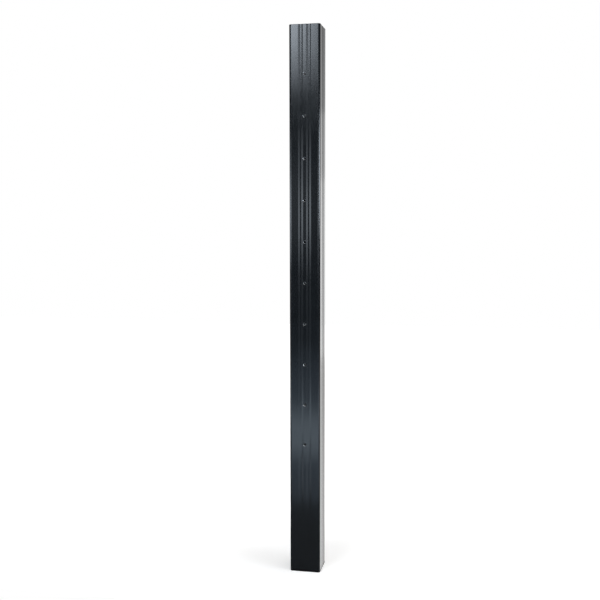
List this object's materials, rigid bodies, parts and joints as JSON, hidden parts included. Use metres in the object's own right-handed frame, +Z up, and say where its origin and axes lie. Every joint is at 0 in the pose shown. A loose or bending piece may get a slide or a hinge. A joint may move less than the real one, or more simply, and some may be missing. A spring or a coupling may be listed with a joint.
{
  "type": "fascia-mount railing post",
  "caption": "Square fluted aluminium railing post with a row of drilled cable holes through its front and back walls and a moulded plug in its lower end.",
  "frame": {"origin": "middle of the lower end's underside, where the post stands", "axes": "+Z up along the post, -Y out of the drilled front face, -X towards the fascia"},
  "size_m": [0.0604, 0.0604, 1.0636],
  "materials": {
    "powder_coat": "satin black powder coat on aluminium",
    "cap_plastic": "fine matt moulded plastic"
  },
  "bodies": {
    "root": {"post_tube": "powder_coat", "bottom_cap": "cap_plastic"}
  },
  "joints": []
}
